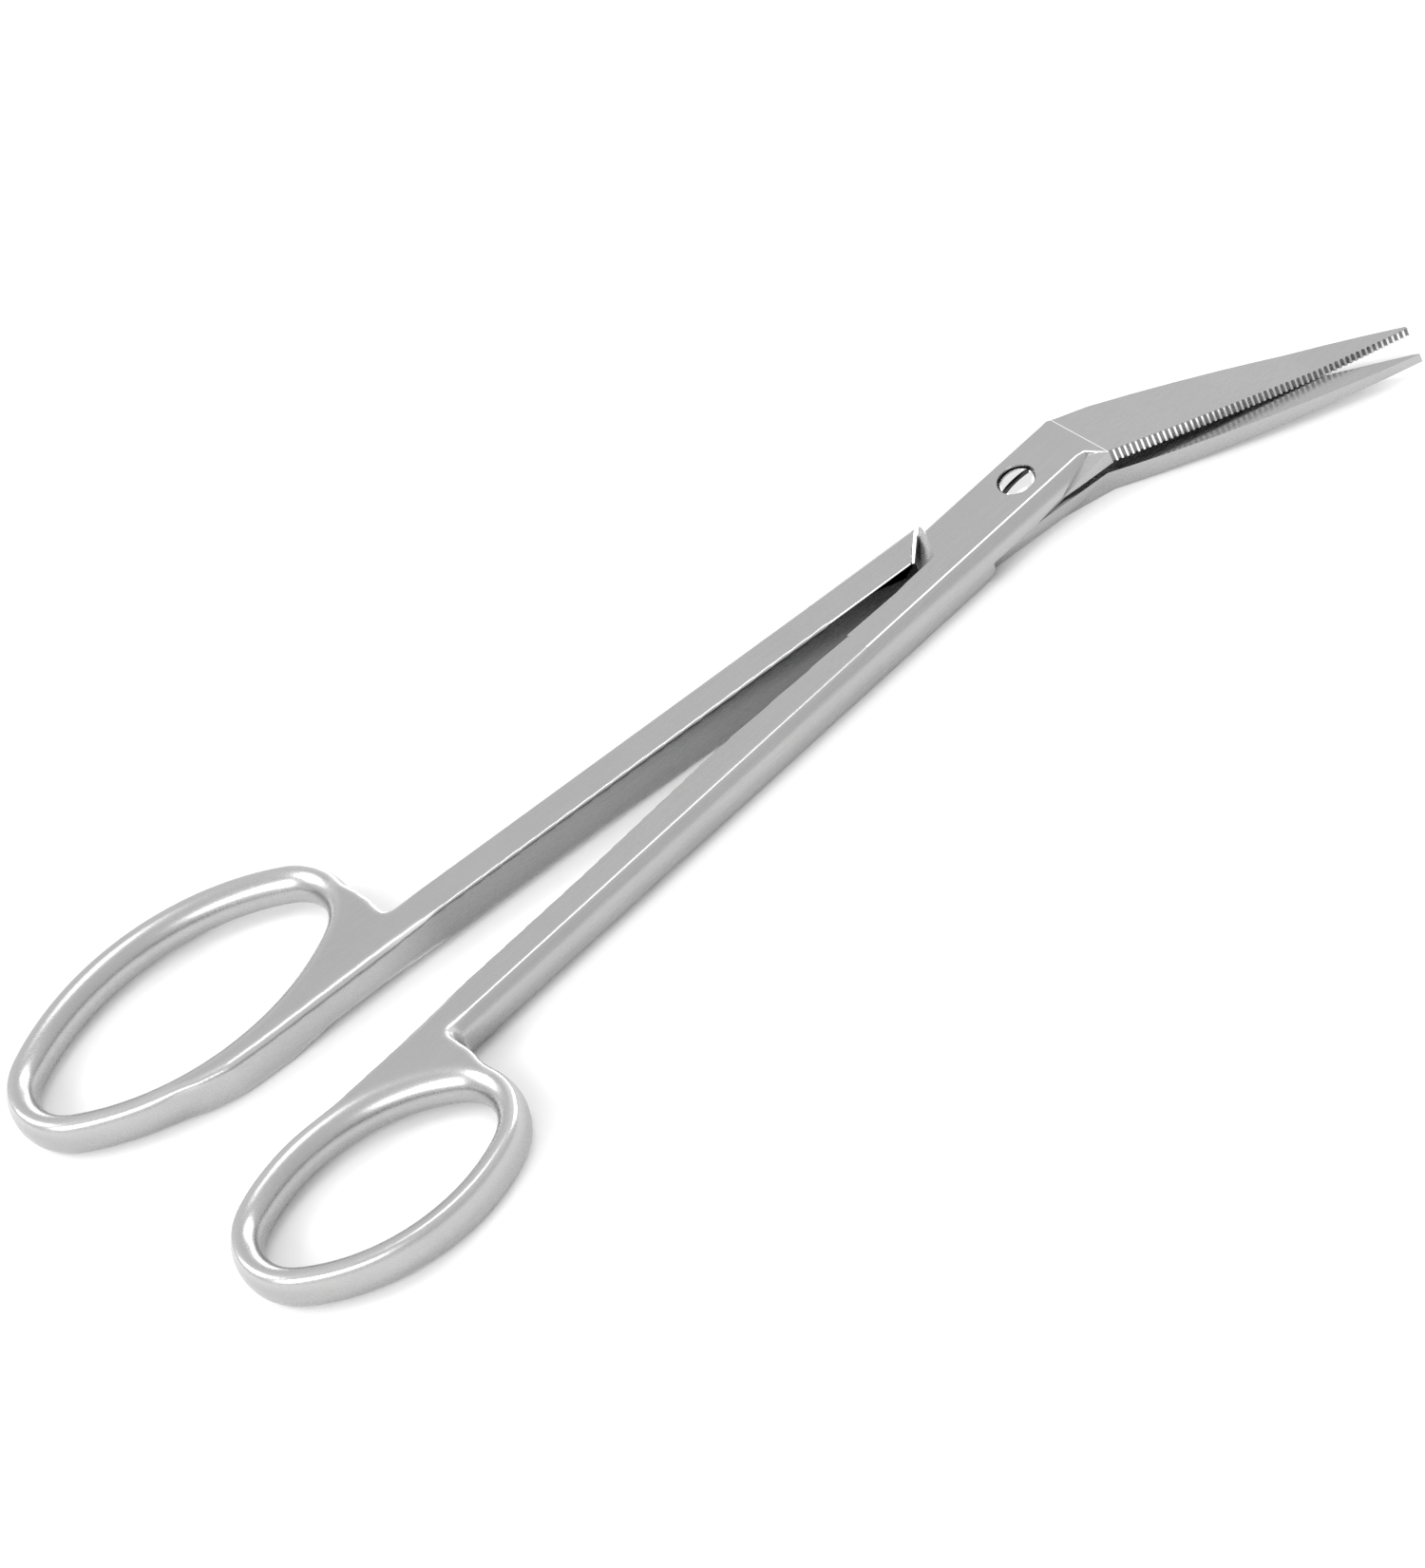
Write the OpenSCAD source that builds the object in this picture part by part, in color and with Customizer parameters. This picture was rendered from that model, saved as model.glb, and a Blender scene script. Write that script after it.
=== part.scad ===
// Angled scissors for planted aquariums: two one-piece steel halves on one slotted screw.
// The closed joint rests on z = 0, the screw's axis is the Z axis, the blades point to +X.

/* [Joint] */
// thickness of the whole joint, resting face to top face
joint_t = 6; // [5.6:0.1:6.6]
// running gap between the two joint plates
plate_gap = 0.04; // [0.02:0.01:0.1]
// direction of the upper half's shank
upper_angle = 3.8; // [3.4:0.1:6]
// direction of the lower half's shank
lower_angle = -4.7; // [-7:0.1:-4.3]
// how far the rounded outer sides swell at mid height
side_bulge = 1.25; // [0.8:0.05:1.4]
// half width of the upper plate on its flat face
plate_half = 4.05; // [3.8:0.05:4.2]
// lower plate, cutting side and shank side, on its flat face
lower_plate_lo = 4.3; // [4:0.05:4.5]
lower_plate_hi = 3.5; // [3.3:0.05:3.8]

/* [Screw] */
// diameter of the slotted head
head_d = 4.9; // [4:0.1:5.4]
// thickness of the head
head_t = 1.3; // [1:0.05:1.5]
// diameter of the plain shank the upper half turns on
pin_d = 3.2; // [2.8:0.1:3.6]
// diameter of the threaded end in the lower half
thread_d = 2.6; // [2.2:0.1:2.7]
// radial clearance round the pin
pin_clear = 0.05; // [0.02:0.01:0.1]
// radial clearance round the head
head_clear = 0.1; // [0.05:0.01:0.2]
// width of the screwdriver slot
slot_w = 0.85; // [0.6:0.05:1]
// depth of the screwdriver slot
slot_depth = 0.7; // [0.4:0.05:0.8]

/* [Shanks] */
// how much thinner the shanks are than the joint, taken off the underside
shank_relief = 0.8; // [0:0.1:1]
// inner edge of the upper shank, across the shank
upper_inner = -0.1; // [-0.3:0.05:0.1]
// inner edge of the lower shank, across the shank
lower_inner = -1.35; // [-1.5:0.05:-1.2]

/* [Blades] */
// thickness of the upper blade where the cutting edges cross
upper_blade_t = 1.3; // [1:0.05:1.6]
// lift of the upper blade's inner face at the heel
upper_lift = 1.1; // [0.8:0.05:1.5]
// thickness of the lower blade where the cutting edges cross
lower_blade_t = 1.85; // [1.3:0.05:2.2]
// hollow of the lower blade's inner face at the heel
lower_lift = 0.1; // [0.05:0.05:0.4]
// number of teeth in the serrated edge
teeth = 55; // [20:1:60]
// depth of each tooth notch
tooth_depth = 0.25; // [0.1:0.05:0.3]
// radius of the belly of the upper cutting edge
upper_belly = 600; // [300:10:900]
// radius of the blades' curved backs
back_belly = 240; // [220:5:400]

/* [Rings] */
// half width of the ring's bar at mid height
ring_half = 2; // [1.8:0.05:2.2]
// how far the ring's finger side swells at mid height
inner_bulge = 2.6; // [2.2:0.05:2.65]
// how far the ring's outer side swells at mid height
outer_bulge = 0.9; // [0.8:0.05:1]
// big ring, centre curve: radius of its ends
big_end = 8.4; // [8:0.05:9]
// big ring: half length is the end radius plus three of these, half width plus one
big_step = 4.9; // [4.6:0.05:5.1]
// small ring, centre curve: radius of its ends
small_end = 8.35; // [8:0.05:8.6]
// small ring: half length is the end radius plus three of these, half width plus one
small_step = 3.15; // [3:0.05:3.3]
// turn of the small ring away from its shank
small_turn = -12.5; // [-13:0.5:-12.5]

/* [Hidden] */
$fn = 96;
mid = joint_t / 2;
half_gap = plate_gap / 2;
side_r = (mid * mid + side_bulge * side_bulge) / (2 * side_bulge);
side_in = side_r - side_bulge;
outer_r = (mid * mid + outer_bulge * outer_bulge) / (2 * outer_bulge);
inner_r = (mid * mid + inner_bulge * inner_bulge) / (2 * inner_bulge);
meet = atan2(4, 3);
big_at = [-120.7, 14.3];
small_at = [-120.2, -12.8];
// size of the wedges that part the ring's arcs
wedge_size = 16;
// where the outer blade faces start to fall, the inner faces part, are furthest apart, and cross
crease_x = 9.6;
part_x = 1;
heel_x = 10.5;
cross_x = 34;
// where the upper joint wall starts to flare out towards the heel of the blade
flare_x = 1;
// how far the shanks' underside relief runs, and the length of its ramp at the ring
upper_relief_from = -98.5;
lower_relief_from = -113;
relief_to = -68;
relief_out = -46;
relief_ramp = 5;
// gaps above and below the screw's head and below its thread, and the overlap of cutting tools
head_sink = 0.05;
thread_inset = 0.1;
over = 1;
// how much more the outer faces fall from the crossing to the reach of the blades
upper_tip_fall = 0.2;
lower_tip_fall = 1.1;
reach = 60;
steel = [0.72, 0.73, 0.74];

// Section of a bar from y = lo to y = hi on its flat faces, both sides swelling at mid height.
module bar_section(lo, hi) {
    intersection() {
        translate([lo - side_bulge - over, 0]) square([hi - lo + 2 * (side_bulge + over), joint_t]);
        union() {
            translate([lo + side_in, mid]) circle(r = side_r);
            translate([hi - side_in, mid]) circle(r = side_r);
            translate([lo + side_in, 0]) square([hi - lo - 2 * side_in, joint_t]);
        }
    }
}

module bar(x0, x1, lo, hi) {
    translate([x0, 0, 0])
        rotate([90, 0, 90])
            linear_extrude(x1 - x0) bar_section(lo, hi);
}

// Section of a ring's bar: narrow rims near the outside, half round on the finger side.
module ring_section() {
    intersection() {
        translate([-ring_half - over, 0]) square([2 * (ring_half + over), joint_t]);
        translate([ring_half - outer_r, mid]) circle(r = outer_r);
        translate([inner_r - ring_half, mid]) circle(r = inner_r);
    }
}

// Part of a round bar ring, cut out by a wedge from its centre.
module arc_bar(radius, wedge) {
    intersection() {
        rotate_extrude($fn = 240) translate([radius, 0]) ring_section();
        linear_extrude(joint_t) polygon(wedge);
    }
}

// Oval of four tangent arcs. The end arcs' centres lie 3 steps out and the side arcs'
// centres 4 steps back, so the arcs meet on the slope of a 3-4-5 triangle.
module ring(end_r, step) {
    out_x = 3 * wedge_size;
    out_y = 4 * wedge_size;
    for (side = [-1, 1]) {
        translate([side * 3 * step, 0, 0])
            arc_bar(end_r, [[0, 0], [side * out_x, -out_y], [side * out_x, out_y]]);
        translate([0, -side * 4 * step, 0])
            arc_bar(end_r + 5 * step, [[0, 0], [out_x, side * out_y], [-out_x, side * out_y]]);
    }
}

module oval(end_r, step) {
    x_meet = 3 * step + end_r * cos(meet);
    for (side = [-1, 1]) {
        translate([side * 3 * step, 0]) circle(r = end_r);
    }
    intersection() {
        translate([0, -4 * step]) circle(r = end_r + 5 * step, $fn = 360);
        translate([0, 4 * step]) circle(r = end_r + 5 * step, $fn = 360);
        translate([-x_meet, -end_r - step]) square([2 * x_meet, 2 * (end_r + step)]);
    }
}

// Side view of a joint plate and its blade, above the mid plane: the inner face lifts at the
// heel and comes back where the edges cross, and the outer face falls towards the tip.
module plate_side(lift, thickness, tip_fall) {
    rotate([90, 0, 0])
        linear_extrude(2 * reach, center = true)
            polygon([
                [-20, half_gap],
                [part_x, half_gap],
                [heel_x, lift],
                [cross_x, half_gap],
                [reach, half_gap],
                [reach, thickness - tip_fall],
                [cross_x, thickness],
                [crease_x, mid],
                [-20, mid]
            ]);
}

// Underside of a shank, cut back between its ring and the joint.
module underside_relief(from) {
    rotate([90, 0, 0])
        linear_extrude(2 * reach, center = true)
            polygon([
                [from, -over],
                [from, 0],
                [from + relief_ramp, shank_relief],
                [relief_to, shank_relief],
                [relief_out, 0],
                [relief_out, -over]
            ]);
}

// ---- upper half: right-hand shank, small ring, serrated blade ----

upper_heel = [9.5, -7.2];
upper_tip = [45.4, -24.7];
upper_back = [13.8, 1.35];
upper_back_tip = [45.25, -23.9];

function dist(p, q) = sqrt(pow(q[0] - p[0], 2) + pow(q[1] - p[1], 2));
function heading(p, q) = atan2(q[1] - p[1], q[0] - p[0]);

// Disc whose rim runs through p and q; side = 1 keeps its centre to the left of p-q.
module belly(p, q, radius, side) {
    half = dist(p, q) / 2;
    translate(p)
        rotate(heading(p, q))
            translate([half, side * sqrt(radius * radius - half * half)]) circle(r = radius, $fn = 1440);
}

module upper_side() {
    translate([0, 0, mid]) plate_side(upper_lift, upper_blade_t, upper_tip_fall);
}

module tooth_notches() {
    length = dist(upper_heel, upper_tip);
    half = length / 2;
    drop = sqrt(upper_belly * upper_belly - half * half);
    spread = 2 * asin(half / upper_belly);
    translate(upper_heel)
        rotate(heading(upper_heel, upper_tip))
            translate([half, drop])
                for (i = [0:teeth - 1])
                    rotate(-90 - spread / 2 + spread * (i + 0.5) / teeth)
                        translate([upper_belly + 0.02, 0])
                            rotate(45)
                                square(tooth_depth * sqrt(2), center = true);
}

module upper_blade_plan() {
    difference() {
        intersection() {
            polygon([
                [5, -3.5],
                [8, -4.4],
                upper_heel,
                [20, -14],
                [44, -26],
                upper_tip,
                [45.5, -24.1],
                upper_back_tip,
                [34, -10],
                upper_back,
                [9.9, 3.35],
                [5, 3.5]
            ]);
            belly(upper_heel, upper_tip, upper_belly, 1);
            union() {
                belly(upper_back, upper_back_tip, back_belly, -1);
                translate([0, -10]) square([14, 20]);
            }
        }
        tooth_notches();
    }
}

// Wall of the joint flaring out to the heel of the blade, its top sloping down from the crease.
module upper_flare() {
    intersection() {
        linear_extrude(joint_t)
            polygon([[flare_x, -3.5], [flare_x, -4.95], upper_heel, [upper_heel[0], -3.5]]);
        rotate([90, 0, 0])
            linear_extrude(2 * reach, center = true)
                polygon([
                    [flare_x, mid],
                    [crease_x, joint_t],
                    [crease_x + over, joint_t],
                    [crease_x + over, mid]
                ]);
        upper_side();
    }
}

module upper_shank_plan() {
    polygon([
        [-101, upper_inner],
        [-75, upper_inner],
        [-50, 0.45],
        [-22, -0.5],
        [-14, -0.45],
        [-9.55, -6],
        [-101, -6]
    ]);
}

module upper_plate_plan() {
    polygon([
        [-22, -0.5],
        [-14.8, -0.4],
        [-11.7, 5.3],
        [-11.7, 6],
        [6, 6],
        [10, 3.3],
        [10, -6],
        [-22, -6]
    ]);
}

module small_ring_web() {
    difference() {
        polygon([
            [-131, -2],
            [-127.5, -0.8],
            [-123, upper_inner],
            [-97, upper_inner],
            [-97, -plate_half + 0.2],
            [-101.1, -plate_half - 0.1],
            [-101, -9],
            [-101.9, -14.4],
            [-110, -12.8],
            [-128, -7]
        ]);
        translate(small_at) rotate(small_turn) oval(small_end, small_step);
    }
}

module upper_half() {
    color(steel) rotate([0, 0, upper_angle]) difference() {
        union() {
            intersection() {
                bar(-100.5, 10, -plate_half, plate_half);
                union() {
                    intersection() {
                        linear_extrude(joint_t) upper_plate_plan();
                        upper_side();
                    }
                    linear_extrude(joint_t) upper_shank_plan();
                }
            }
            linear_extrude(joint_t) small_ring_web();
            translate([small_at[0], small_at[1], 0])
                rotate([0, 0, small_turn]) ring(small_end, small_step);
            intersection() {
                linear_extrude(joint_t) upper_blade_plan();
                upper_side();
            }
            upper_flare();
        }
        underside_relief(upper_relief_from);
        translate([0, 0, mid - over]) cylinder(d = pin_d + 2 * pin_clear, h = mid + 2 * over);
        translate([0, 0, joint_t - head_t - head_sink])
            cylinder(d = head_d + 2 * head_clear, h = head_t + over);
    }
}

// ---- lower half: left-hand shank, big ring, plain blade ----

lower_heel = [10.5, 3.6];
lower_tip = [46.7, -20.65];
lower_back = [9.5, -5.6];
lower_back_tip = [47.25, -21.3];

module lower_side() {
    translate([0, 0, mid]) mirror([0, 0, 1]) plate_side(lower_lift, lower_blade_t, lower_tip_fall);
}

module lower_blade_plan() {
    intersection() {
        polygon([
            [5, 3],
            lower_heel,
            lower_tip,
            [47.35, -21.25],
            lower_back_tip,
            [30, -20],
            lower_back,
            [5.5, -4]
        ]);
        belly(lower_back, lower_back_tip, back_belly, 1);
    }
    polygon([[5, 3], [10, 0], lower_back, [2, -4.25]]);
}

module lower_shank_plan() {
    polygon([
        [-122, -1.9],
        [-117, -2],
        [-90, lower_inner],
        [-16.7, -1.15],
        [-11.8, 5.2],
        [-11.8, 6],
        [-121, 6]
    ]);
}

module lower_plate_plan() {
    polygon([
        [-22, -1.2],
        [-13.9, -1.2],
        [-13.2, -1.9],
        [-9.7, -5.6],
        [-9.7, -6],
        [10, -6],
        [10, 6],
        [-22, 6]
    ]);
}

module big_ring_web() {
    difference() {
        union() {
            polygon([
                [-133, 2.6],
                [-130, 0.9],
                [-126, -0.9],
                [-122, -1.9],
                [-117, -2],
                [-92, lower_inner],
                [-92, lower_plate_hi],
                [-95, lower_plate_hi],
                [-95.1, 8],
                [-95.7, 11.5],
                [-96.9, 14.6],
                [-110, 14.3],
                [-121, 4]
            ]);
            difference() {
                translate([-95.2, lower_plate_hi - 0.2]) square([1.8, 1.8]);
                translate([-93.4, lower_plate_hi + 1.6]) circle(r = 1.6);
            }
        }
        translate(big_at) oval(big_end, big_step);
    }
}

module lower_half() {
    color(steel) rotate([0, 0, lower_angle]) difference() {
        union() {
            intersection() {
                bar(-121, 10, -lower_plate_lo, lower_plate_hi);
                union() {
                    intersection() {
                        linear_extrude(joint_t) lower_plate_plan();
                        lower_side();
                    }
                    linear_extrude(joint_t)
                        difference() {
                            lower_shank_plan();
                            translate(big_at) oval(big_end, big_step);
                        }
                }
            }
            linear_extrude(joint_t) big_ring_web();
            translate([big_at[0], big_at[1], 0]) ring(big_end, big_step);
            intersection() {
                linear_extrude(joint_t) lower_blade_plan();
                lower_side();
            }
        }
        underside_relief(lower_relief_from);
        translate([0, 0, -over]) cylinder(d = thread_d, h = mid + 2 * over);
    }
}

// ---- screw: slotted head, plain pin for the upper half, threaded end in the lower half ----

module pivot_screw() {
    color([0.85, 0.86, 0.87]) difference() {
        union() {
            translate([0, 0, thread_inset]) cylinder(d = thread_d, h = mid);
            translate([0, 0, mid - half_gap]) cylinder(d = pin_d, h = mid - head_t + half_gap);
            translate([0, 0, joint_t - head_t]) cylinder(d = head_d, h = head_t - head_sink);
        }
        rotate([0, 0, upper_angle])
            translate([-head_d, -slot_w / 2, joint_t - head_sink - slot_depth])
                cube([2 * head_d, slot_w, slot_depth + over]);
    }
}

upper_half();
lower_half();
pivot_screw();
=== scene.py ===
"""Studio scene for the aquascaping scissors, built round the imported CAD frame."""

import math

import bmesh
import bpy
import numpy as np
from mathutils import Euler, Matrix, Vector


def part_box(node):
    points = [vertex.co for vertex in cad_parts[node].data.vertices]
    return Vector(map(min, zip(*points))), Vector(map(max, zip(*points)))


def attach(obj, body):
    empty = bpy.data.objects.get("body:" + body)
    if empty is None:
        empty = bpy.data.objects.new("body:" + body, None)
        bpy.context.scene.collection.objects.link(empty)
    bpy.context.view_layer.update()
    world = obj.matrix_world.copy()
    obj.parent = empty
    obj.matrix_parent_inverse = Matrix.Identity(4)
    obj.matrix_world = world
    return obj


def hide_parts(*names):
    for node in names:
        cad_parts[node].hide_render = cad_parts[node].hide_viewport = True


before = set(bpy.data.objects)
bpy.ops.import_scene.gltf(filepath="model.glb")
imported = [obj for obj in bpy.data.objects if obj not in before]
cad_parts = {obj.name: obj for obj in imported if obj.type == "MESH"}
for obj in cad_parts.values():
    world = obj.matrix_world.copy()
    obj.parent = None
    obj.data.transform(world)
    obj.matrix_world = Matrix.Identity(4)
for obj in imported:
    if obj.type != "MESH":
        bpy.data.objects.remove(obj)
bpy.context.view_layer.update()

MM = 0.001
CAMERA_AT = Vector((-0.2357, -0.5554, 0.5473))
CAMERA_TURN = (43.553, 19.233, -37.297)
CAMERA_LENS = 150.0
SENSOR_HEIGHT = 36.0

# Directions of the two halves in plan, in degrees.
UPPER_TURN = 3.8
LOWER_TURN = -4.7
# Where a half is split into a smoothly forged handle and a crisply ground front, along its shank.
SPLIT_AT = -30 * MM
HANDLE_VOXEL = 0.22 * MM
EDGE_ROUNDS = 9
RING_ROUNDS = 60
UPPER_WEB_AT = -96 * MM
LOWER_WEB_AT = -90 * MM
BLEND_LENGTH = 10 * MM
EDGE_WIDTH = 0.15 * MM
THREAD_RADIUS = 1.3 * MM
PIN_RADIUS = 1.6 * MM
PIN_FROM = 2.98 * MM
HEAD_RADIUS = 2.36 * MM
HEAD_EDGE = 0.9 * MM
HEAD_DOME = 0.5 * MM
SLOT_WIDTH = 0.85 * MM
SLOT_DEPTH = 0.7 * MM
LATHE_STEPS = 96
SCREW_SHARP = math.radians(30)
SHORTEST_EDGE = 0.9 * MM
SHARP_ANGLE = math.radians(24)
SHOULDER_FROM = -17.5 * MM
SHOULDER_TO = -11 * MM
SHOULDER_SIDE = 5 * MM
SHOULDER_WIDTH = 0.6 * MM
SHOULDER_ACROSS = 0.93
# Faces whose normal is this upright are level, and stay flat beside each other.
LEVEL_NORMAL = 0.9
LEVEL_ANGLE = math.radians(0.5)
# Crease where the blade starts, and the width of the strip along it that is painted bright as a highlight
# line.
CREASE_AT = 9.6 * MM
CREASE_HIGHLIGHT_WIDTH = 0.25 * MM
# End of the upper half under the crossing, which stays sharp.
BURIED_FROM = -19 * MM
BURIED_SIDE = -1 * MM
WORN_ABOVE = 5.8 * MM
UPPER_WORN_TO = 10.2 * MM
LOWER_WORN_TO = -8 * MM
# Where the painted shade on the lower half's inner side fades to the lighter ring tone, and the direction
# the teeth face.
LIGHT_FROM = -16 * MM
LIGHT_LENGTH = 6 * MM
TEETH_FROM = 10 * MM
TEETH_FACE = math.radians(-116)
# A face belongs to the teeth if it is narrow, upright and turned to that side; a tip faces it squarely.
TOOTH_NARROW = 0.5 * MM
TOOTH_UPRIGHT = 0.3
TOOTH_TURNED = 0.5
TOOTH_SQUARE = 0.93
# Names of the two attributes: edge wear, which also paints a highlight along the rounded edges, and where
# the painted side shade fades to the ring tone; and how far an edge has to be worn down to count as fully
# bright.
WEAR_AND_SHEEN = "wear_and_sheen"
RING_SHADE_FADE = "ring"
WEAR_SHEEN_START = 0.1 * MM
WEAR_SHEEN_DEPTH = 0.1 * MM
WEAR_SHEEN_ROUNDS = 6
WEAR_SHEEN_GAIN = 1.5
# Share of the edge wear and its painted highlight that fades out on the rings, which are bright all over
# from the lighter ring tone.
RING_FADE = 0.85
# Steel tones of the ground top faces and of the sides, and the normals between them: the sides are darker
# partly for their rougher finish and partly as painted shade, the lower half's darkest where its inner
# side faces the gap between the halves; the ring sides are lighter where that painted shade ends.
TOP_TONE = 0.54
UPPER_SIDE_SHADE = 0.42
LOWER_SIDE_SHADE = 0.31
RING_TONE = 0.46
# Painted shade in the notches between the teeth, and a painted highlight on the tooth tips.
NOTCH_SHADE = 0.1
TOOTH_HIGHLIGHT = 0.8
# Screw head at full brightness on top; its upright walls, in the slot and round the head, dark as painted
# shade.
SCREW_TONE = 1.0
SCREW_SIDE_SHADE = 0.08
SIDE_UNTIL = 0.2
TOP_FROM = 0.8
# Grain cells per metre: long along the shank, fine across it.
GRAIN_STRETCH = (120, 9000, 9000)
GRAIN_STRENGTH = 0.06
BUMP_STRENGTH = 0.03
BUMP_DISTANCE = 0.02 * MM
MOTTLE_SCALE = 90.0
MOTTLE_DARKEST = 0.95
NOISE_LOW = 0.3
NOISE_HIGH = 0.7
ROUGH_STEEL = 0.27
ROUGH_SCREW = 0.15
ROUGH_BELOW = 0.04
ROUGH_ABOVE = 0.05
# Studio: a pale floor just under the part, an even sky, and area lights.
FLOOR_SIDE = 6
FLOOR_LEVEL = -0.05 * MM
FLOOR_TONE = 0.9
FLOOR_ROUGH = 0.9
SKY_STRENGTH = 0.85
MIDDLE = (0, 0, 0)
RINGS = (-0.12, 0, 0)


def link(obj):
    bpy.context.collection.objects.link(obj)
    return obj


def make_camera():
    data = bpy.data.cameras.new("camera")
    data.sensor_fit = "VERTICAL"
    data.sensor_height = SENSOR_HEIGHT
    data.lens = CAMERA_LENS
    data.clip_start = 0.01
    camera = link(bpy.data.objects.new("camera", data))
    camera.location = CAMERA_AT
    camera.rotation_euler = Euler([math.radians(v) for v in CAMERA_TURN])
    bpy.context.scene.camera = camera


# ---- meshes ----


def shank_direction(turn):
    angle = math.radians(turn)
    return Vector((math.cos(angle), math.sin(angle), 0))


def applied(mesh, kind, **settings):
    """A copy of the mesh with one modifier applied."""
    obj = link(bpy.data.objects.new("work", mesh))
    modifier = obj.modifiers.new("work", kind)
    for key, value in settings.items():
        setattr(modifier, key, value)
    graph = bpy.context.evaluated_depsgraph_get()
    made = bpy.data.meshes.new_from_object(obj.evaluated_get(graph))
    bpy.data.objects.remove(obj)
    return made


def coordinates(mesh):
    flat = np.empty(3 * len(mesh.vertices), np.float32)
    mesh.vertices.foreach_get("co", flat)
    return flat.reshape(-1, 3).astype(float)


def relaxed(points, edges, weight, rounds):
    """Moves every point towards the mean of its neighbours, by its own weight each round."""
    count = len(points)
    ends = np.concatenate([edges, edges[:, ::-1]])
    degree = np.bincount(ends[:, 0], minlength=count)[:, None]
    for _ in range(rounds):
        sums = [np.bincount(ends[:, 0], points[ends[:, 1], axis], count) for axis in range(3)]
        points = points + weight[:, None] * (np.stack(sums, axis=1) / degree - points)
    return points


def cut(mesh, turn, keep_handle):
    """Keeps one side of the split plane across the shank, and leaves the cut open."""
    bm = bmesh.new()
    bm.from_mesh(mesh)
    along = shank_direction(turn)
    bmesh.ops.bisect_plane(
        bm,
        geom=bm.verts[:] + bm.edges[:] + bm.faces[:],
        dist=1e-7,
        plane_co=along * SPLIT_AT,
        plane_no=along,
        clear_outer=keep_handle,
        clear_inner=not keep_handle,
    )
    bm.to_mesh(mesh)
    bm.free()
    return mesh


def handle_mesh(source, turn, web_at):
    """Ring, web and rear shank: one skin with rounded edges, blended more towards the ring."""
    mesh = applied(source, "REMESH", mode="VOXEL", voxel_size=HANDLE_VOXEL)
    sharp = coordinates(mesh)
    flat = np.empty(2 * len(mesh.edges), np.int32)
    mesh.edges.foreach_get("vertices", flat)
    edges = flat.reshape(-1, 2)
    along = np.array(shank_direction(turn))
    ring_share = np.clip((web_at - sharp @ along) / BLEND_LENGTH, 0, 1)
    points = relaxed(sharp, edges, np.full(len(sharp), 0.5), EDGE_ROUNDS)
    points = relaxed(points, edges, 0.5 * ring_share, RING_ROUNDS)
    mesh.vertices.foreach_set("co", points.astype(np.float32).ravel())
    # Edges the smoothing rounds off get the wear attribute: worn edges painted bright, which also stands
    # in as a painted highlight along them; on the ring it mostly fades out.
    moved = (np.linalg.norm(points - sharp, axis=1) - WEAR_SHEEN_START) / WEAR_SHEEN_DEPTH
    share = np.repeat(np.clip(moved, 0, 1)[:, None], 3, axis=1)
    share = relaxed(share, edges, np.full(len(sharp), 0.5), WEAR_SHEEN_ROUNDS)[:, 0]
    share = np.clip(WEAR_SHEEN_GAIN * share, 0, 1) * (1 - RING_FADE * ring_share)
    corners = np.empty(len(mesh.loops), np.int32)
    mesh.loops.foreach_get("vertex_index", corners)
    for name, values in ((WEAR_AND_SHEEN, share), (RING_SHADE_FADE, ring_share)):
        layer = mesh.attributes.new(name, "FLOAT", "CORNER")
        layer.data.foreach_set("value", values[corners].astype(np.float32))
    for face in mesh.polygons:
        face.use_smooth = True
    return cut(mesh, turn, keep_handle=True)


def worn_edges(bm, turn, worn_to):
    """The sharp ground edges of the joint that are rounded off."""
    along = shank_direction(turn)
    across = Vector((-along.y, along.x, 0))
    chosen = []
    for edge in bm.edges:
        if len(edge.link_faces) != 2 or edge.calc_length() < SHORTEST_EDGE:
            continue
        angle = edge.calc_face_angle(0)
        middle = (edge.verts[0].co + edge.verts[1].co) / 2
        if middle.dot(along) > worn_to or min(v.co.z for v in edge.verts) < WORN_ABOVE:
            continue
        at_end = BURIED_FROM < middle.dot(along) < SHOULDER_TO and middle.dot(across) > BURIED_SIDE
        buried = turn > 0 and at_end
        if angle > SHARP_ANGLE and not buried:
            chosen.append(edge)
    return chosen


def crease_strip(bm, turn):
    """A narrow strip of the level faces along the crease where the blade starts, cut out to carry a
    painted highlight line.
    """
    along = shank_direction(turn)

    def level_faces():
        return [f for f in bm.faces if f.normal.z > LEVEL_NORMAL and f.calc_center_median().z > WORN_ABOVE]

    for side in (-0.5, 0.5):
        faces = level_faces()
        edges = list({edge for face in faces for edge in face.edges})
        verts = list({vert for face in faces for vert in face.verts})
        bmesh.ops.bisect_plane(
            bm,
            geom=verts + edges + faces,
            dist=1e-7,
            plane_co=along * (CREASE_AT + side * CREASE_HIGHLIGHT_WIDTH),
            plane_no=along,
        )
    bm.normal_update()
    reach = CREASE_HIGHLIGHT_WIDTH / 2
    return [f for f in level_faces() if abs(f.calc_center_median().dot(along) - CREASE_AT) < reach]


def mark_teeth(bm, turn, wear_and_sheen):
    """Tooth tips turned squarely to the teeth side get a painted highlight, and the notches between them
    go in the second material, dark as painted shade.
    """
    along = shank_direction(turn)
    face_way = shank_direction(turn + math.degrees(TEETH_FACE))
    for face in bm.faces:
        facing = face.normal.dot(face_way)
        narrow = min(edge.calc_length() for edge in face.edges) < TOOTH_NARROW
        if abs(face.normal.z) > TOOTH_UPRIGHT or facing < TOOTH_TURNED or not narrow:
            continue
        if face.calc_center_median().dot(along) < TEETH_FROM or turn < 0:
            continue
        if facing > TOOTH_SQUARE:
            for corner in face.loops:
                corner[wear_and_sheen] = TOOTH_HIGHLIGHT
        else:
            face.material_index = 1


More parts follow.
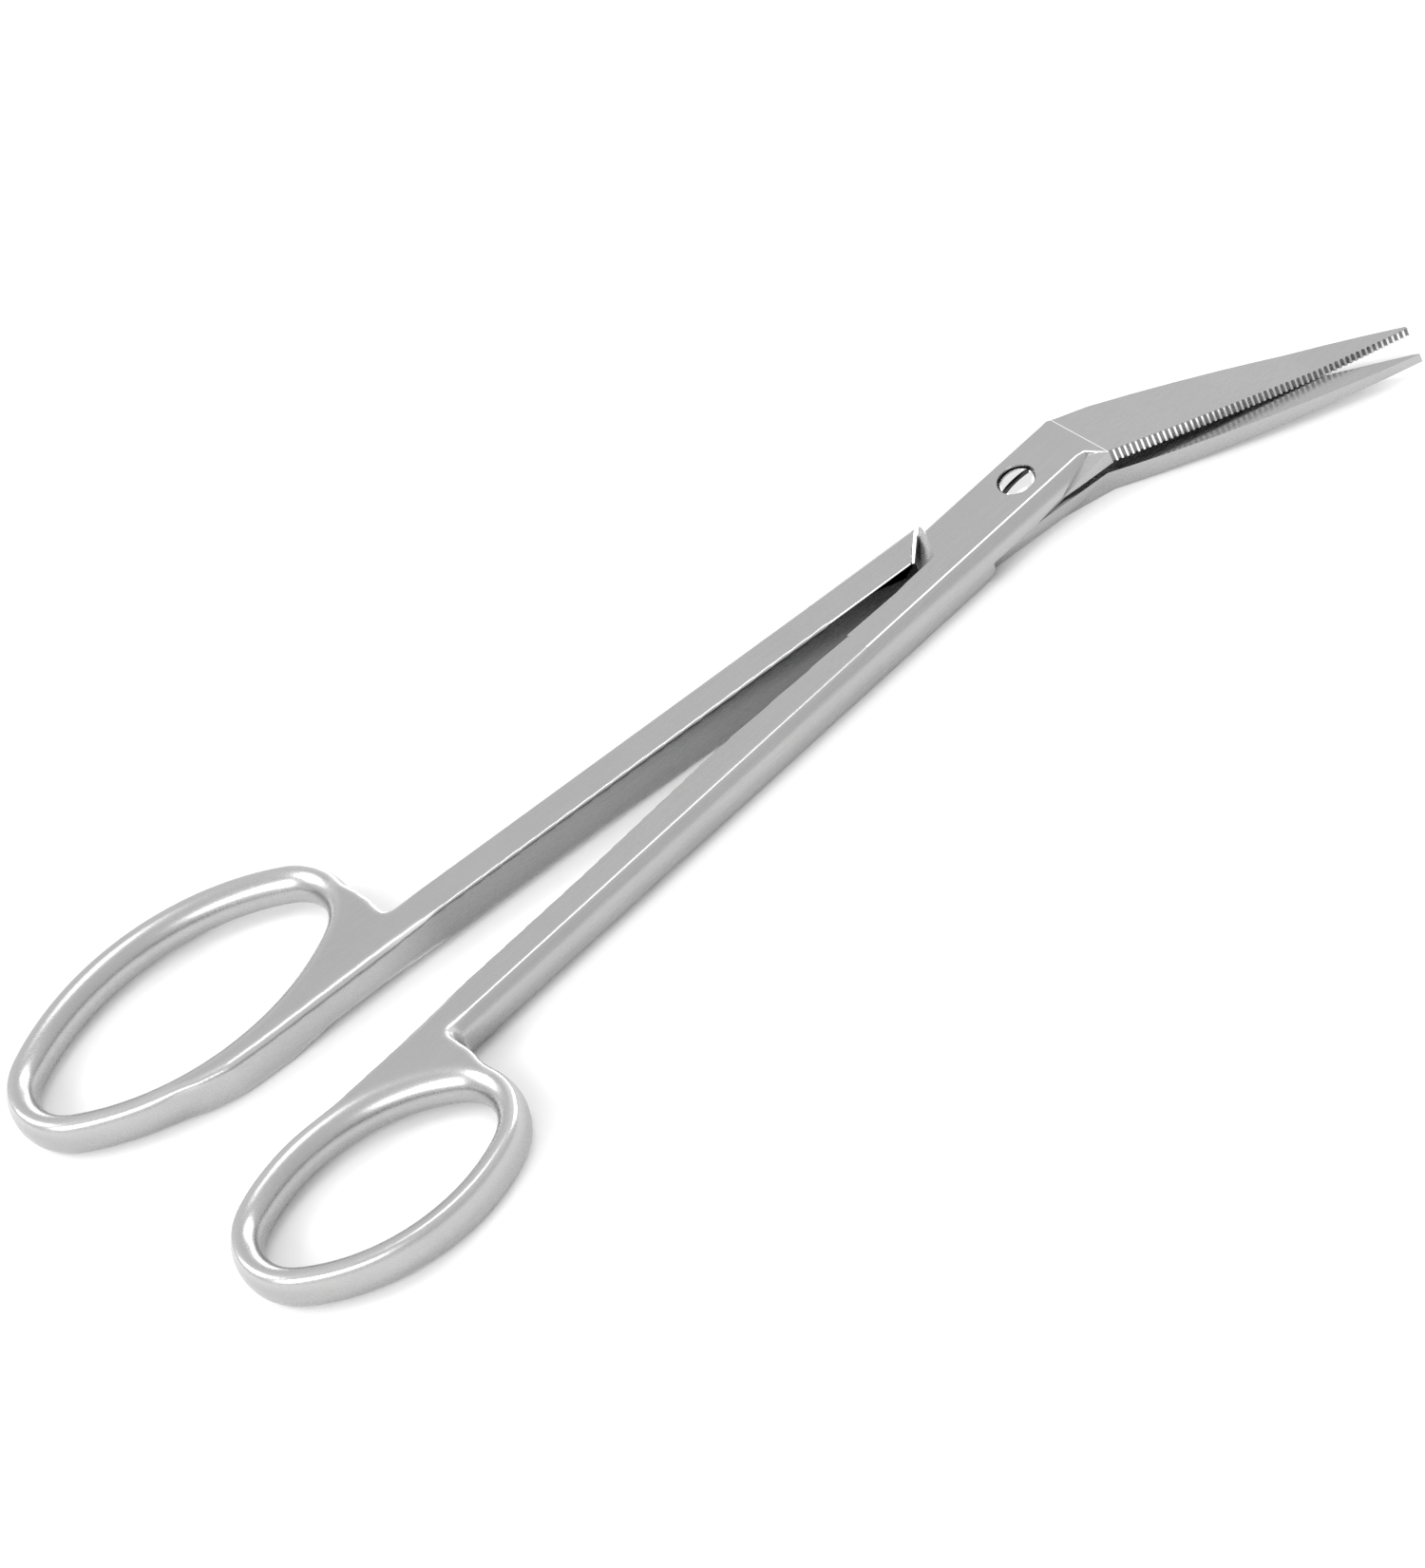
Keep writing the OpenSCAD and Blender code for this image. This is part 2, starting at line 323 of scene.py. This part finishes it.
def set_shading(bm, rounded):
    """Flat ground faces, smooth barrel sides and smooth rounded edges."""
    for face in bm.faces:
        face.smooth = True
    for edge in bm.edges:
        if len(edge.link_faces) != 2:
            continue
        first, second = edge.link_faces
        angle = edge.calc_face_angle(0)
        worn = (first in rounded) + (second in rounded)
        level = min(abs(first.normal.z), abs(second.normal.z)) > LEVEL_NORMAL
        limit = LEVEL_ANGLE if level else SHARP_ANGLE
        edge.smooth = worn == 2 or (worn == 0 and angle < limit)


def shoulder_edges(bm, turn):
    """The top edges of the end faces that stop the shank at the joint."""
    along = shank_direction(turn)
    across = Vector((-along.y, along.x, 0))
    chosen = []
    for edge in bm.edges:
        first, second = (vert.co for vert in edge.verts)
        middle = (first + second) / 2
        if min(first.z, second.z) < WORN_ABOVE or len(edge.link_faces) != 2:
            continue
        in_reach = SHOULDER_FROM < middle.dot(along) < SHOULDER_TO and middle.dot(across) < SHOULDER_SIDE
        slanted = abs((second - first).normalized().dot(along)) < SHOULDER_ACROSS
        if in_reach and slanted and edge.calc_face_angle(0) > SHARP_ANGLE:
            chosen.append(edge)
    return chosen


def bevelled(bm, edges, width):
    made = bmesh.ops.bevel(
        bm, geom=edges, offset=width, segments=3, profile=0.5, affect="EDGES", clamp_overlap=False
    )
    return made["faces"]


def front_mesh(source, turn, worn_to):
    """Front shank, joint plate and blade: flat ground faces with narrow rounded edges."""
    mesh = cut(source.copy(), turn, keep_handle=False)
    bm = bmesh.new()
    bm.from_mesh(mesh)
    bmesh.ops.remove_doubles(bm, verts=bm.verts, dist=1e-7)
    bmesh.ops.dissolve_limit(bm, angle_limit=math.radians(1), verts=bm.verts, edges=bm.edges)
    rounded = []
    if turn < 0:
        rounded += bevelled(bm, shoulder_edges(bm, turn), SHOULDER_WIDTH)
    rounded += bevelled(bm, worn_edges(bm, turn, worn_to), EDGE_WIDTH)
    if turn > 0:
        rounded += crease_strip(bm, turn)
    rounded = {face for face in rounded if face.is_valid}
    wear_and_sheen = bm.loops.layers.float.new(WEAR_AND_SHEEN)
    light = bm.loops.layers.float.new(RING_SHADE_FADE)
    along = shank_direction(turn)
    # Past LIGHT_FROM the sides fade from their painted side shade to the lighter ring tone.
    for face in bm.faces:
        for corner in face.loops:
            reach = corner.vert.co.dot(along) - LIGHT_FROM
            corner[light] = min(1, max(0, reach / LIGHT_LENGTH))
    # Bevelled edges get full wear, worn bright and also a painted highlight along them; the crease strip
    # gets it as a painted highlight line only.
    for face in rounded:
        for corner in face.loops:
            corner[wear_and_sheen] = 1
    mark_teeth(bm, turn, wear_and_sheen)
    set_shading(bm, rounded)
    bmesh.ops.triangulate(bm, faces=bm.faces)
    bm.to_mesh(mesh)
    bm.free()
    return mesh


def make_half(node, body, turn, web_at, worn_to, side_shade_tone):
    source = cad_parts[node].data
    bm = bmesh.new()
    for part in (handle_mesh(source, turn, web_at), front_mesh(source, turn, worn_to)):
        bm.from_mesh(part)
    mesh = bpy.data.meshes.new(node + "_skin")
    bm.to_mesh(mesh)
    bm.free()
    # Top faces in the top tone, sides in the darker side tone that is partly painted shade; the notch
    # material is dark as painted shade.
    mesh.materials.append(steel(node + "_steel", turn, TOP_TONE, side_shade_tone))
    mesh.materials.append(steel(node + "_notches", turn, NOTCH_SHADE, NOTCH_SHADE))
    piece = link(bpy.data.objects.new(node + "_skin", mesh))
    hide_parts(node)
    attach(piece, body)


def turned_screw():
    """Lathe-turned screw: threaded end, plain pin and a head with a low dome."""
    low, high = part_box("pivot_screw")
    under_head = high[2] - HEAD_EDGE - HEAD_DOME
    dome = [
        (HEAD_RADIUS * math.cos(a), high[2] - HEAD_DOME * (1 - math.sin(a)))
        for a in (math.radians(step * 10) for step in range(10))
    ]
    profile = [
        (0, low[2]),
        (THREAD_RADIUS, low[2]),
        (THREAD_RADIUS, PIN_FROM),
        (PIN_RADIUS, PIN_FROM),
        (PIN_RADIUS, under_head),
        (HEAD_RADIUS, under_head),
    ] + dome
    bm = bmesh.new()
    verts = [bm.verts.new((radius, 0, z)) for radius, z in profile]
    edges = [bm.edges.new(pair) for pair in zip(verts, verts[1:])]
    bmesh.ops.spin(
        bm, geom=verts + edges, axis=(0, 0, 1), cent=(0, 0, 0), angle=math.tau, steps=LATHE_STEPS
    )
    bmesh.ops.remove_doubles(bm, verts=bm.verts, dist=1e-6)
    bmesh.ops.recalc_face_normals(bm, faces=bm.faces)
    mesh = bpy.data.meshes.new("screw")
    bm.to_mesh(mesh)
    bm.free()
    return mesh, high[2]


def make_screw():
    """The turned screw with its slot milled in."""
    mesh, top = turned_screw()
    bpy.ops.mesh.primitive_cube_add(size=1, location=(0, 0, top))
    cutter = bpy.context.object
    cutter.scale = (4 * HEAD_RADIUS, SLOT_WIDTH, 2 * SLOT_DEPTH)
    cutter.rotation_euler = (0, 0, math.radians(UPPER_TURN))
    mesh = applied(mesh, "BOOLEAN", object=cutter, operation="DIFFERENCE", solver="EXACT")
    bpy.data.objects.remove(cutter)
    for face in mesh.polygons:
        face.use_smooth = True
    mesh.set_sharp_from_angle(angle=SCREW_SHARP)
    mesh.materials.clear()
    # Upright walls of the screw dark as painted shade.
    mesh.materials.append(steel("screw_steel", UPPER_TURN, SCREW_TONE, SCREW_SIDE_SHADE, ROUGH_SCREW))
    piece = link(bpy.data.objects.new("slotted_screw", mesh))
    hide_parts("pivot_screw")
    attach(piece, "lower")


# ---- materials ----


def steel(name, turn, top_tone, side_shade_tone, rough=ROUGH_STEEL):
    """Satin ground steel: grain along the shank, soft mottling, sides darker than the top faces (partly a
    rougher finish, partly painted shade), and brighter worn edges that also serve as a painted highlight.
    """
    material = bpy.data.materials.new(name)
    material.use_nodes = True
    nodes, links = material.node_tree.nodes, material.node_tree.links
    shader = nodes["Principled BSDF"]
    shader.inputs["Metallic"].default_value = 1

    def add(kind, **values):
        node = nodes.new("ShaderNode" + kind)
        for key, value in values.items():
            if key in node.inputs:
                node.inputs[key].default_value = value
            else:
                setattr(node, key, value)
        return node

    place = add("TexCoord")
    along = add("Mapping")
    along.inputs["Rotation"].default_value = (0, 0, math.radians(-turn))
    stretch = add("Mapping")
    stretch.inputs["Scale"].default_value = GRAIN_STRETCH
    grain = add("TexNoise", Scale=1.0, Detail=3.0, Roughness=0.6)
    mottle = add("TexNoise", Scale=MOTTLE_SCALE, Detail=4.0, Roughness=0.55)
    wear_and_sheen = add("Attribute", attribute_name=WEAR_AND_SHEEN)
    links.new(place.outputs["Object"], along.inputs["Vector"])
    links.new(along.outputs["Vector"], stretch.inputs["Vector"])
    links.new(stretch.outputs["Vector"], grain.inputs["Vector"])
    links.new(place.outputs["Object"], mottle.inputs["Vector"])

    # Tone by how upright the normal is: lighter top faces, darker sides as partly finish and partly
    # painted shade; the ring attribute lifts the sides to the ring tone where that shade ends.
    facing = add("SeparateXYZ")
    links.new(place.outputs["Normal"], facing.inputs["Vector"])
    upright = add("Math", operation="ABSOLUTE")
    links.new(facing.outputs["Z"], upright.inputs[0])
    tone = add("ValToRGB")
    low, high = tone.color_ramp.elements
    low.position, high.position = SIDE_UNTIL, TOP_FROM
    low.color = [side_shade_tone] * 3 + [1]
    high.color = [top_tone] * 3 + [1]
    links.new(upright.outputs[0], tone.inputs["Fac"])
    cloud = add("ValToRGB")
    low, high = cloud.color_ramp.elements
    low.position, high.position = NOISE_LOW, NOISE_HIGH
    low.color = [MOTTLE_DARKEST] * 3 + [1]
    high.color = (1, 1, 1, 1)
    links.new(mottle.outputs["Fac"], cloud.inputs["Fac"])
    clouded = add("Mix", data_type="RGBA", blend_type="MULTIPLY")
    clouded.inputs["Factor"].default_value = 1
    ring = add("Attribute", attribute_name=RING_SHADE_FADE)
    ring_side = add("ValToRGB")
    low, high = ring_side.color_ramp.elements
    low.position, high.position = SIDE_UNTIL, TOP_FROM
    low.color = [RING_TONE] * 3 + [1]
    high.color = [top_tone] * 3 + [1]
    links.new(upright.outputs[0], ring_side.inputs["Fac"])
    sides = add("Mix", data_type="RGBA")
    links.new(ring.outputs["Fac"], sides.inputs["Factor"])
    links.new(tone.outputs["Color"], sides.inputs["A"])
    links.new(ring_side.outputs["Color"], sides.inputs["B"])
    links.new(sides.outputs["Result"], clouded.inputs["A"])
    links.new(cloud.outputs["Color"], clouded.inputs["B"])
    streak = add("Mix", data_type="RGBA", blend_type="MULTIPLY")
    streak.inputs["Factor"].default_value = GRAIN_STRENGTH
    links.new(clouded.outputs["Result"], streak.inputs["A"])
    links.new(grain.outputs["Fac"], streak.inputs["B"])
    # Worn edges mixed towards white: wear and a painted highlight in one.
    bright = add("Mix", data_type="RGBA")
    bright.inputs["B"].default_value = (1, 1, 1, 1)
    links.new(wear_and_sheen.outputs["Fac"], bright.inputs["Factor"])
    links.new(streak.outputs["Result"], bright.inputs["A"])
    links.new(bright.outputs["Result"], shader.inputs["Base Color"])

    gloss = add("MapRange")
    gloss.inputs["From Min"].default_value = NOISE_LOW
    gloss.inputs["From Max"].default_value = NOISE_HIGH
    gloss.inputs["To Min"].default_value = rough - ROUGH_BELOW
    gloss.inputs["To Max"].default_value = rough + ROUGH_ABOVE
    links.new(grain.outputs["Fac"], gloss.inputs["Value"])
    links.new(gloss.outputs["Result"], shader.inputs["Roughness"])
    bump = add("Bump", Strength=BUMP_STRENGTH, Distance=BUMP_DISTANCE)
    links.new(grain.outputs["Fac"], bump.inputs["Height"])
    links.new(bump.outputs["Normal"], shader.inputs["Normal"])
    return material


# ---- studio ----


def area(name, place, target, size, power):
    data = bpy.data.lights.new(name, "AREA")
    data.shape = "RECTANGLE"
    data.size, data.size_y = size
    data.energy = power
    light = link(bpy.data.objects.new(name, data))
    light.location = place
    light.rotation_euler = (Vector(target) - Vector(place)).to_track_quat("-Z", "Y").to_euler()


def make_floor():
    bpy.ops.mesh.primitive_plane_add(size=FLOOR_SIDE, location=(0, 0, FLOOR_LEVEL))
    floor = bpy.context.object
    floor.name = "floor"
    material = bpy.data.materials.new("floor")
    material.use_nodes = True
    shader = material.node_tree.nodes["Principled BSDF"]
    shader.inputs["Base Color"].default_value = [FLOOR_TONE] * 3 + [1]
    shader.inputs["Roughness"].default_value = FLOOR_ROUGH
    floor.data.materials.append(material)


def make_sky():
    world = bpy.data.worlds.new("studio")
    bpy.context.scene.world = world
    world.use_nodes = True
    sky = world.node_tree.nodes["Background"]
    sky.inputs["Color"].default_value = (1, 1, 1, 1)
    sky.inputs["Strength"].default_value = SKY_STRENGTH


make_camera()
make_half("upper_half", "upper", UPPER_TURN, UPPER_WEB_AT, UPPER_WORN_TO, UPPER_SIDE_SHADE)
make_half("lower_half", "lower", LOWER_TURN, LOWER_WEB_AT, LOWER_WORN_TO, LOWER_SIDE_SHADE)
make_screw()

make_floor()
make_sky()
area("key", (-0.75, 0.6, 0.75), MIDDLE, (0.5, 0.5), 4.7)
area("overhead", (0.1, 0.0, 1.0), MIDDLE, (0.3, 0.3), 1.2)
area("front_left", (-0.8, -0.8, 0.6), MIDDLE, (0.6, 0.4), 2.5)
area("far_right", (0.8, 0.8, 0.12), MIDDLE, (0.9, 0.3), 3.0)
area("right_card", (0.75, 0.1, 0.45), RINGS, (0.45, 0.45), 3.0)
area("left_card", (-0.95, -0.25, 0.5), RINGS, (0.45, 0.45), 3.2)
bpy.context.scene.view_settings.view_transform = "Standard"
